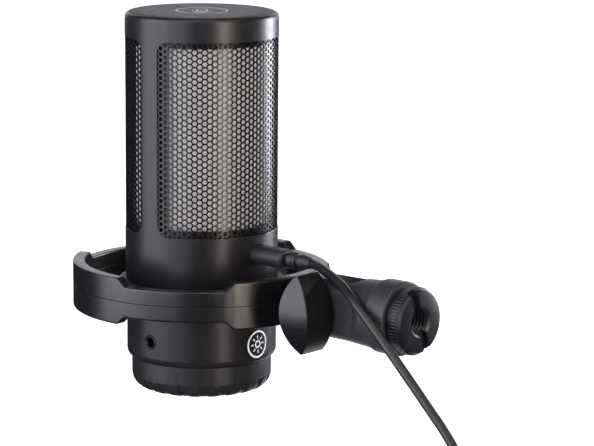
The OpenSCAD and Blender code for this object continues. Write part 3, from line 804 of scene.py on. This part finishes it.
def add_grille(name, facing, cad_node):
    """A curved sheet with hexagonal holes in it, flats up and down, right through its thickness."""
    low, high = span(cad_node)
    outer = max(abs(low.x), abs(high.x))
    inner = outer - 0.55
    pitch, hole = 2.26, 1.70
    cell, open_r = pitch / sqrt(3), hole / sqrt(3)
    half = radians(83.2) * outer
    columns = int(2 * (half - cell) / (1.5 * cell)) + 1
    rows = int((high.z - low.z - pitch) / pitch)
    points, known, faces, rims = [], {}, [], {}

    def at(s, z, layer):
        key = (round(s, 2), round(z, 2), layer)
        if key not in known:
            a = s / outer + radians(facing)
            r = outer if layer == 0 else inner
            known[key] = len(points)
            points.append((r * cos(a), r * sin(a), z))
        return known[key]

    middle = (low.z + high.z) / 2
    for i in range(columns):
        s = (i - (columns - 1) / 2) * 1.5 * cell
        for j in range(rows):
            z = middle + (j - (rows - 1) / 2 + (0.25 if i % 2 else -0.25)) * pitch
            ring = [(cos(pi * k / 3), sin(pi * k / 3)) for k in range(6)]
            edge = [[at(s + cell * c, z + cell * d, layer) for c, d in ring] for layer in (0, 1)]
            rim = [[at(s + open_r * c, z + open_r * d, layer) for c, d in ring] for layer in (0, 1)]
            for k in range(6):
                n = (k + 1) % 6
                faces.append((edge[0][k], edge[0][n], rim[0][n], rim[0][k]))
                faces.append((edge[1][n], edge[1][k], rim[1][k], rim[1][n]))
                faces.append((rim[0][k], rim[0][n], rim[1][n], rim[1][k]))
                pair = tuple(sorted((edge[0][k], edge[0][n])))
                rims.setdefault(pair, []).append((edge[0][k], edge[1][k], edge[1][n], edge[0][n]))
    faces += [sides[0] for sides in rims.values() if len(sides) == 1]
    grille = creased(solid(name, points, faces), 30)
    return show(grille, "grille_black", "microphone", cad_node)


def add_gauze():
    """The wire gauze behind the grilles."""
    low, high = span("gauze_liner")
    profile = oblong((high.x - 0.3, high.x), (low.z, high.z))
    gauze = smooth(lathe("gauze", profile, steps=180))
    return show(gauze, "gauze_silver", "microphone", "gauze_liner")


def add_lower_shell():
    """The lower shell: a painted cup with a rounded foot and holes for the button and the jack."""
    low, high = span("lower_shell")
    r, foot, seam = high.x, low.z, span("upper_shell")[0].z
    wall, floor = 2, 2.5
    profile = rounded([
        (0, foot, 0), (r - 1.7, foot, 0.25), (r - 0.55, foot + 0.55, 0.8), (r, foot + 2.0, 1.2),
        (r, seam - 0.05, 0.15), (r - wall, seam - 0.05, 0), (r - wall, foot + floor, 0.5),
        (0, foot + floor, 0),
    ], 0.2, 4)
    shell = lathe("lower_shell_piece", profile, steps=180, start=pi / 360)
    button_r = span("light_button")[1].y
    button_z, jack_z = centre_of("light_button").z, centre_of("headphone_socket").z
    carved(
        shell,
        rod(turn_x, (r - 6, r + 2), button_r + 0.22, (0, 0, button_z)),
        rod(turn_y, (-r - 2, -r + 6), 3.02, (0, 0, jack_z)),
        rod(turn_z, (foot - 1, foot + floor + 1), 3.6),
    )
    true_round(smooth(shell))
    return show(shell, "shell_black", "microphone", "lower_shell")


def add_gain_knob():
    """The gain knob: a turned cup with notches round its rounded foot and a dished underside."""
    low, high = span("gain_knob")
    r, foot, top = high.x, low.z, span("lower_shell")[0].z - 0.12
    notches, wide, tall, deep = 20, 4.2, 5.4, 0.75
    inside = [
        (r - 3, top - 0.2), (r - 3, foot + 4), (6, foot + 4), (6, top - 0.4), (3.1, top - 0.4),
        (3.1, foot + 4), (0, foot + 4), (0, foot + 0.9), (r - 8.6, foot + 0.9), (r - 8.1, foot + 0.75),
        (r - 7.4, foot + 0.1), (r - 7.0, foot),
    ]
    wall = [
        (r - 5.2, foot), (r - 4.1, foot + 0.16), (r - 3.0, foot + 0.58), (r - 2.0, foot + 1.25),
        (r - 1.2, foot + 2.1), (r - 0.6, foot + 3.1), (r - 0.2, foot + 4.2), (r, foot + tall - 0.2),
    ]
    above = [(r, foot + tall), (r, foot + 0.75 * (top - foot)), (r, top - 0.2), (r - 0.2, top)]
    edge, pitch = 0.12, 2 * pi / notches
    side = [
        (-wide / 2 - edge, 0), (-wide / 2 - 0.3 * edge, 0.12), (-wide / 2 + edge, 0.9),
        (-wide / 2 + 2 * edge, 1), (-wide / 6, 1),
    ]
    notch = [(at / r, cut) for at, cut in side + [(-at, cut) for at, cut in reversed(side)]]
    end = (wide / 2 + edge) / r
    notch += [(end + (pitch - 2 * end) * n / 4, 0) for n in (1, 2, 3)]
    sections = []
    for a, cut in [(a + (k + 0.5) * pitch, cut) for k in range(notches) for a, cut in notch]:
        outline = inside + [(radius - deep * cut, z) for radius, z in wall] + above
        sections.append([(radius * cos(a), radius * sin(a), z) for radius, z in outline])
    knob = creased(loft("gain_knob_piece", sections, joined=True), 38)
    return show(knob, "knob_black", "gain_dial", "gain_knob")


def add_button():
    """The light button: a cap flush with the round wall, its stem, and a printed ring and sun."""
    low, high = span("light_button")
    r, z, wall = (high.y - low.y) / 2, (high.z + low.z) / 2, high.x
    ink = (-0.02, 0.04)

    def skin(radius, a, lift):
        """A point on the button's face, which follows the round wall."""
        y = radius * cos(a)
        return (sqrt(wall ** 2 - y ** 2) + lift, y, z + radius * sin(a))

    stations = [(r * 0.25, 0), (r * 0.5, 0), (r * 0.75, 0), (r - 0.25, 0), (r - 0.08, -0.12), (r, -0.4)]
    sections = [[skin(radius, a, lift) for a in angles(72)] for radius, lift in stations]
    sections.append([(wall - 2.6, r * cos(a), z + r * sin(a)) for a in angles(72)])
    show(smooth(loft("light_button_piece", sections)), "button_black", "light_key")
    stem = rod(turn_x, (low.x, wall - 2.5), 1.2, (0, 0, z), 24, "light_button_stem")
    show(smooth(stem, 0.15, 2), "button_black", "light_key", "light_button")
    parts = []
    for radii in ((r - 0.85, r - 0.14), (0.95, 1.55)):
        rim = [[skin(radius, a, lift) for radius, lift in oblong(radii, ink)] for a in angles(72)]
        parts.append(loft("ring", rim, joined=True))
    for a in angles(8, radians(3)):
        ray = [(2.25, a - 0.11), (3.5, a - 0.072), (3.5, a + 0.072), (2.25, a + 0.11)]
        parts.append(loft("ray", [[skin(*p, lift) for p in ray] for lift in ink]))
    return show(joined_up("button_print", parts), "light_diffuser", "light_key")


def add_jack():
    """The headphone socket: a bushing with a round lip, its body and its contact."""
    low, high = span("headphone_socket")
    z = (low.z + high.z) / 2
    front = low.y
    profile = rounded([
        (2.9, front + 0.4, 0.2), (2.9, front + 13, 0), (1.78, front + 13, 0), (1.78, front + 0.9, 0.1),
        (2.15, front + 0.35, 0.2), (2.5, front + 0.15, 0.15),
    ], 0.1, 3)
    bushing = smooth(lathe("jack_bushing", profile, turn_y, (0, 0, z), 64))
    show(bushing, "jack_black", "microphone", "headphone_socket")
    body = block((-3.2, 3.2), (front + 3.5, front + 16.5), (z - 2.6, z + 2.6), "jack_body")
    carved(body, rod(turn_y, (front, front + 14.5), 2.95, (0, 0, z)))
    show(smooth(body, 0.15, 2), "jack_black", "microphone")
    contact = rod(turn_y, (front + 14.0, front + 14.4), 2.9, (0, 0, z), 32, "jack_contact")
    return show(smooth(contact), "brass", "microphone")


add_upper_shell()
add_touch_plate()
add_grille("grille_rear", 0, "rear_grille")
add_grille("grille_front", 180, "front_grille")
add_gauze()
add_lower_shell()
add_gain_knob()
add_button()
add_jack()


# ---- Mount ring ----

# The ends of a lug's top and of its slopes, and the first post, in degrees. The rest is in millimetres.
LUG_TOP = 33
LUG_FOOT = 37
FIRST_POST = 13
PIVOT = 69.5
BOLT_HOLE_R = 2.58
ELASTIC_D = 2.6
POST_R = 1.5
POST_LEVEL = 4.4


def ring_edge(radius, band, lug):
    """Angle and height of the ring's edge over a third of the ring, with the steps softened."""
    flat = radius * pi / 180
    corners = [
        (-60 * flat, band, 0), (-LUG_FOOT * flat, band, 0.8), (-LUG_TOP * flat, lug, 0.8),
        (LUG_TOP * flat, lug, 0.8), (LUG_FOOT * flat, band, 0.8), (60 * flat, band, 0),
    ]
    line = rounded(corners + [(0, -999, 0)], 0, 4)[:-1]
    out = []
    for (s0, h0), (s1, h1) in zip(line, line[1:]):
        count = max(1, round(abs(s1 - s0) / (2.4 * flat)))
        out += [((s0 + (s1 - s0) * k / count) / flat, h0 + (h1 - h0) * k / count) for k in range(count)]
    return out


def add_ring_half(name, side, cad_node):
    """Half of the mount ring, with raised lugs, round edges and a fine line where the halves meet."""
    high = span("ring_upper")[1]
    outer, inner, lug = high.x, high.x - 4.6, high.z
    band, part = 5.95, 0.05
    sections = []
    for third in range(3):
        for degrees, height in ring_edge((outer + inner) / 2, band, lug):
            a = radians(degrees + 120 * third)
            c, s = cos(a), sin(a)
            rim = rounded([
                (inner, part, 0.15), (outer, part, 0.18), (outer, height, 0.75), (inner, height, 0.7),
            ], 0.2, 4)
            sections.append([(r * c, r * s, side * z) for r, z in rim])
    half = loft(name, sections, joined=True)
    for k in range(3 if side > 0 else 0):
        hole = rod(turn_x, (inner - 2, inner + 2.6), POST_R + 0.05, (0, 0, POST_LEVEL), 24)
        carved(half, turned(hole, FIRST_POST + 120 * k))
    return show(smooth(half), "ring_plastic", "mount_ring", cad_node)


def add_tongue():
    """The tongue of the tilt hinge: a flat bar with a round eye, soft all round."""
    low, high = span("hinge_tongue")
    eye, thick, start = (high.z - low.z) / 2, high.y, low.x - 0.3
    outline = [(start, -eye), (PIVOT, -eye)]
    outline += [
        (PIVOT + eye * sin(a), -eye * cos(a)) for a in (pi * k / 24 for k in range(1, 24))
    ]
    outline += [(PIVOT, eye), (start, eye)]
    tongue = loft("hinge_tongue_piece", [[(x, y, z) for x, z in outline] for y in (-thick, thick)])
    ring = rod(turn_z, (-20, 20), span("ring_upper")[1].x - 0.05, (0, 0, 0), 180)
    carved(tongue, ring, rod(turn_y, (-10, 10), BOLT_HOLE_R, (PIVOT, 0, 0)))
    return show(smooth(tongue, 0.45, 3), "ring_plastic", "mount_ring", "hinge_tongue")


def three_posts(name, outline, height, first):
    """Three turned posts that point out from the axis, a third of a turn apart, as one piece."""
    profile = rounded(outline, 0.1, 3)
    return smooth(joined_up(name, [
        turned(lathe("post", profile, turn_x, (0, 0, height), 32), first + 120 * k) for k in range(3)
    ]))


def add_posts():
    """The posts that the elastic cord goes round on the ring, with round heads."""
    head, tail = 42.0, 48.5
    posts = three_posts("ring_posts", [
        (0, head, 0), (2.3, head, 0.4), (2.3, head + 0.8, 0.2), (POST_R, head + 0.9, 0.1),
        (POST_R, tail, 0.1), (0, tail, 0),
    ], POST_LEVEL, FIRST_POST)
    return show(posts, "screw_steel", "mount_ring", "cord_posts")


def add_collar():
    """The floating collar, its three posts for the elastic cord, and its rubber sleeve."""
    low, high = span("suspension_collar")
    outer, inner = 32.4, 31.0
    profile = rounded(oblong((inner, outer), (low.z, high.z)), 0.35, 3)
    collar = lathe("collar_piece", profile, steps=144)
    hook = 39.0
    posts = three_posts("collar_posts", [
        (0, outer - 0.6, 0), (POST_R, outer - 0.6, 0), (POST_R, hook, 0.1), (2.4, hook + 0.1, 0.2),
        (2.4, hook + 0.8, 0.3), (0, hook + 0.8, 0),
    ], -POST_LEVEL, FIRST_POST + 60)
    show(posts, "collar_plastic", "microphone")
    screw_z = centre_of("collar_screws").z
    holes = [turned(rod(turn_x, (inner - 2, outer + 2), 1.5, (0, 0, screw_z), 32), a) for a in (45, 165, 285)]
    carved(collar, joined_up("cutter", holes))
    show(true_round(smooth(collar)), "collar_plastic", "microphone", "suspension_collar")
    sleeve_r = span("lower_shell")[1].x
    profile = rounded([
        (sleeve_r, low.z), (inner, low.z, 0.2), (inner, high.z - 0.1, 0.2), (sleeve_r, high.z, 0.2),
    ], 0.1, 3)
    sleeve = smooth(lathe("grip_sleeve_piece", profile, steps=144))
    return show(sleeve, "rubber_black", "microphone", "grip_sleeve")


def braid(length, angle):
    """Radius of the braided elastic cord: strands that cross over each other."""
    strands = max(cos(4 * angle + 2.2 * length), cos(4 * angle - 2.2 * length))
    return ELASTIC_D / 2 - 0.09 + 0.09 * max(0.0, strands)


def add_elastics():
    """The elastic cord: six stretched runs between the posts, and its turns round the posts."""
    outer_r, inner_r, z = 43.9, 37.7, POST_LEVEL

    def turn_point(radius, degrees, height, angle):
        post, a = radians(degrees), radians(angle)
        centre = Vector((radius * cos(post), radius * sin(post), height))
        side = Vector((-sin(post), cos(post), 0))
        return centre + (POST_R + ELASTIC_D / 2) * (cos(a) * side + sin(a) * Vector((0, 0, 1)))

    def around(name, radius, degrees, height, first, last):
        return swept(name, [
            turn_point(radius, degrees, height, first + (last - first) * k / 14) for k in range(15)
        ], braid, 16)

    ring_turns, collar_turns = [], []
    for k in range(3):
        post = FIRST_POST + 120 * k
        ring_turns.append(around("turn", outer_r, post, z, -25, 205))
        collar_turns.append(around("turn", inner_r, post + 60, -z, 25, -205))
        for side in (-1, 1):
            begin = turn_point(outer_r, post, z, -25 if side > 0 else 205)
            end = turn_point(inner_r, post + 60 * side, -z, -205 if side > 0 else 25)
            line = [begin.lerp(end, i / 60) for i in range(61)]
            run = smooth(swept(f"elastic_run_{k}_{'a' if side < 0 else 'b'}", line, braid, 16))
            show(run, "elastic_black", None)
            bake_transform(run)
    on_ring = smooth(joined_up("elastic_on_ring", ring_turns))
    show(on_ring, "elastic_black", "mount_ring", "elastic_cords")
    show(smooth(joined_up("elastic_on_collar", collar_turns)), "elastic_black", "microphone")


add_ring_half("ring_top", 1, "ring_upper")
add_ring_half("ring_bottom", -1, "ring_lower")
add_tongue()
add_posts()
add_collar()
add_elastics()


# ---- Stem, clamp knob and adapter ----

def add_stem():
    """The stem: a fork that tapers out to a round collar, with the slot for the tongue."""
    end, fork, collar, collar_x, half_slot = 102.5, 12.0, 14.0, 93.0, 4.9
    profile = rounded([
        (0, PIVOT - fork - 1, 0), (fork, PIVOT - fork - 1, 0), (fork + 0.2, PIVOT + 10, 0.5),
        (fork + 1.1, collar_x - 0.3, 0.3), (collar - 0.1, collar_x + 0.3, 0.4), (collar, collar_x + 1, 0.3),
        (collar, end, 0.8), (10.05, end, 0.3), (10.05, end - 16.05, 0), (0, end - 16.05, 0),
    ], 0.3, 4)
    stem = lathe("stem_piece", profile, turn_x, steps=180)
    nose = block((0, PIVOT), (-20, 20), (-20, 20))
    carved(nose, rod(turn_y, (-21, 21), fork, (PIVOT, 0, 0), 160))
    slot_to = PIVOT + 14.5 - half_slot
    slot = block((0, slot_to), (-half_slot, half_slot), (-20, 20))
    carved(slot, rod(turn_z, (-20, 20), half_slot, (slot_to, 0, 0), 64), operation="UNION")
    cheeks = [
        lathe("cutter", [(0, y), (15.5, y), (22, far), (0, far)], turn_y, (PIVOT, 0, 0), 128)
        for y, far in ((-9.8, -13.8), (9.8, 13.8))
    ]
    carved(
        stem, nose, slot, *cheeks,
        rod(turn_y, (-21, 21), BOLT_HOLE_R, (PIVOT, 0, 0), 48),
        rod(turn_y, (6.6, 21), 4.6, (PIVOT, 0, 0), 6),
    )
    stem = true_round(smooth(stem), turn_x, (0, 0, 0), 0.15)
    return show(true_flat(stem, (0, 1, 0)), "stem_plastic", "stem_group", "stem")


def add_wing():
    """The wing of the clamp knob: a pointed oval with a crowned face and soft edges."""
    low, high = span("wing_knob")
    half, width = 30.5 / 2, 14.0
    bow = (half ** 2 + width ** 2 / 4) / width
    back, front, crown = high.y, low.y, 3.6
    crown_r = (half ** 2 + crown ** 2) / (2 * crown)
    lean = radians(5.4)
    rows = 44
    top = half - 0.4
    sections = []
    for i in range(rows + 1):
        v = -top * cos(pi * i / rows)
        w = sqrt(bow ** 2 - v ** 2) - (bow - width / 2)
        w = max(w, 0.35)
        face = front + crown_r - sqrt(crown_r ** 2 - v ** 2)
        shrink = 0.5 if i in (0, rows) else 0
        near, far = face + shrink, back - shrink
        rim = rounded([(-w, far, 0.3), (w, far, 0.3), (w, near, 0.35), (-w, near, 0.35)], 0.3, 3)
        sections.append([
            (PIVOT + u * cos(lean) - v * sin(lean), y, v * cos(lean) + u * sin(lean))
            for u, y in rim
        ])
    wing = loft("wing_piece", sections)
    return show(smooth(wing), "wing_grey", "clamp_knob", "wing_knob")


def add_adapter():
    """The thread adapter: a ribbed flange with a coin slot, and a real thread down its bore."""
    low, high = span("thread_adapter")
    face, flange, shank_r = high.x, high.x - 7, 7.9
    r, bore = 12.8, 4.76
    ribs, heights = 62, [0, 0.85, 1, 1, 0.85, 0]
    count = ribs * len(heights)

    def circle(x, radius, ribbed=0.0):
        out = []
        for k, a in enumerate(angles(count)):
            size = radius - ribbed * (1 - heights[k % len(heights)])
            out.append((x, size * cos(a), size * sin(a)))
        return out

    pitch, depth = 25.4 / 16, 0.68
    turns = (face - low.x) / pitch
    sections = [circle(*station) for station in (
        (low.x, bore + 0.5), (low.x, shank_r - 0.6), (low.x + 0.6, shank_r), (flange - 0.6, shank_r),
        (flange, r - 1.4), (flange, r - 1.0), (flange + 1.1, r - 1.0), (flange + 1.2, r - 0.5),
        (flange + 1.4, r - 0.2, 0.3), (flange + 1.8, r, 0.5), (face - 2.2, r, 0.5),
        (face - 1.75, r - 0.25, 0.3), (face - 1.6, r - 0.5), (face - 1.5, r - 0.75),
        (face - 0.35, r - 1.1), (face - 0.1, r - 1.3), (face, r - 1.6), (face, bore + 1.1),
    )]
    steps = int(turns * 8)
    for i in range(steps + 1):
        x = face - 0.9 - (face - 0.9 - low.x) * i / steps
        line = []
        for k, a in enumerate(angles(count)):
            phase = (x / pitch - k / count) % 1
            tooth = abs(2 * phase - 1)
            size = bore + 0.12 - depth * (tooth - 0.5) * (0 if i in (0, steps) else 1)
            line.append((x, size * cos(a), size * sin(a)))
        sections.append(line)
    adapter = loft("adapter_piece", sections, joined=True)
    lean = radians(20)
    across, along = Vector((0, cos(lean), sin(lean))), Vector((0, -sin(lean), cos(lean)))
    slot = []
    for x, w in ((face - 2.4, 1.8), (face - 0.3, 1.8), (face + 0.4, 2.5)):
        slot.append([Vector((x, 0, 0)) + across * i + along * j for i, j in oblong((-w, w), (-20, 20))])
    carved(adapter, loft("cutter", slot))
    return show(creased(adapter, 28), "adapter_black", "stem_group", "thread_adapter")


def add_clamp_bolt():
    """The clamp bolt, with rings for its thread and a rounded end, and its hexagonal nut."""
    low, high = span("clamp_bolt")
    shank = [(0, low.y + 2.5, 0), (2.5, low.y + 2.5, 0)]
    pitch = 0.8
    y = 4.0
    while y < high.y - 0.6:
        shank += [(2.5, y, 0.05), (2.2, y + pitch / 2, 0.05)]
        y += pitch
    shank += [(2.3, high.y - 0.3, 0.2), (1.6, high.y, 0.2), (0, high.y, 0)]
    bolt = smooth(lathe("clamp_bolt_piece", rounded(shank, 0, 2), turn_y, (PIVOT, 0, 0), 40))
    show(bolt, "screw_steel", "clamp_knob", "clamp_bolt")
    nut_low, nut_high = span("clamp_nut")
    nut = rod(turn_y, (nut_low.y, nut_high.y), 4.55, (PIVOT, 0, 0), 6, "clamp_nut_piece")
    carved(nut, rod(turn_y, (nut_low.y - 1, nut_high.y + 1), 2.6, (PIVOT, 0, 0), 40))
    return show(smooth(nut, 0.3, 2), "screw_steel", "stem_group", "clamp_nut")


add_stem()
add_wing()
add_adapter()
add_clamp_bolt()


# ---- CAD nodes that stay ----

def paint_cad_nodes():
    """Gives each CAD node that still shows the finish of its slot in the record."""
    for row in frame["record"]["subparts"]:
        obj = frame["nodes"][row["node"]]
        obj.data.materials.clear()
        obj.data.materials.append(FINISHES[row["material_slot"]])


paint_cad_nodes()


# ---- Studio ----

def add_floor():
    """A plain pale floor just under the coil, glowing with painted light that grows brighter far off and a
    little darker right below the object, a painted shade.
    """
    floor_z = cad_box[0][2] / MM - 0.1
    reach = (-4000, 4000)
    mesh = solid("floor", [(x, y, floor_z) for x, y in oblong(reach, reach)], [(0, 1, 2, 3)])
    tree, shader, where = new_finish("floor_white")
    length = node(tree, "ShaderNodeVectorMath", Vector=where)
    length.operation = "LENGTH"
    away = length.outputs["Value"]
    # The glow is painted light. It rises from 0.75 near the middle to 1.1 far off, and is cut to 0.6 within
    # 0.1 m of the origin, a painted shade under the object.
    glow = reckon(
        tree, "MULTIPLY", mapped(tree, away, 0.35, 1.1, 0.75, 1.1), mapped(tree, away, 0.10, 0.22, 0.6),
    )
    fill(
        tree, shader, Base_Color=mottle(tree, where, 3.0, (0.86, 0.86, 0.86), (0.88, 0.88, 0.88)),
        Roughness=0.9, Emission_Color=(1, 1, 1, 1), Emission_Strength=glow,
    )
    mesh.data.materials.append(FINISHES["floor_white"])
    mesh.visible_glossy = False
    mesh.visible_shadow = False


def softbox(name, bearing, elevation, distance, size, strength, colour, lift=0.03):
    """A soft rectangular light aimed at the body. bearing is degrees to the right of the camera."""
    data = bpy.data.lights.new(name, "AREA")
    data.shape = "RECTANGLE"
    data.size, data.size_y = size
    data.energy = strength * pi * size[0] * size[1]
    data.color = colour
    light = linked(name, data)
    a = CAMERA_AZIMUTH + radians(bearing) - pi / 2
    e = radians(elevation)
    out = Vector((cos(a) * cos(e), sin(a) * cos(e), sin(e)))
    light.location = AXIS + Vector((0, 0, lift)) + out * distance
    light.rotation_euler = out.to_track_quat("Z", "Y").to_euler()


def add_world():
    """A white backdrop for the camera, and a dim room for everything else."""
    world = bpy.data.worlds.new("studio")
    bpy.context.scene.world = world
    world.use_nodes = True
    tree = world.node_tree
    tree.nodes.clear()
    seen = node(tree, "ShaderNodeBackground", Color=(1, 1, 1, 1), Strength=1.0)
    room = node(tree, "ShaderNodeBackground", Color=(0.9, 0.92, 1, 1), Strength=0.03)
    mix = tree.nodes.new("ShaderNodeMixShader")
    tree.links.new(tree.nodes.new("ShaderNodeLightPath").outputs["Is Camera Ray"], mix.inputs[0])
    tree.links.new(room.outputs[0], mix.inputs[1])
    tree.links.new(seen.outputs[0], mix.inputs[2])
    tree.links.new(mix.outputs[0], tree.nodes.new("ShaderNodeOutputWorld").inputs["Surface"])


add_floor()
softbox("key_left", -70, 0, 0.9, (0.82, 1.1), 3.4, (0.92, 0.90, 1.0), 0.33)
softbox("fill_left", -31, 0, 1.0, (0.45, 1.1), 2.0, (0.92, 0.90, 1.0), 0.33)
softbox("strip_front", 35, 0, 1.0, (0.24, 1.1), 8.0, (1.0, 0.89, 0.80), 0.33)
softbox("rim_right", 122, 0, 0.9, (0.30, 0.42), 19.0, (0.93, 0.91, 1.0), 0.105)
softbox("top_front", 5, 70, 1.1, (1.5, 1.0), 1.3, (1.0, 0.98, 0.97))
softbox("backdrop", 180, 14, 1.3, (1.6, 0.8), 1.1, (0.95, 0.95, 1.0))
softbox("under_back", 165, -35, 0.9, (0.8, 0.5), 1.2, (0.95, 0.95, 1.0))
add_world()
bpy.context.scene.view_settings.view_transform = "Standard"
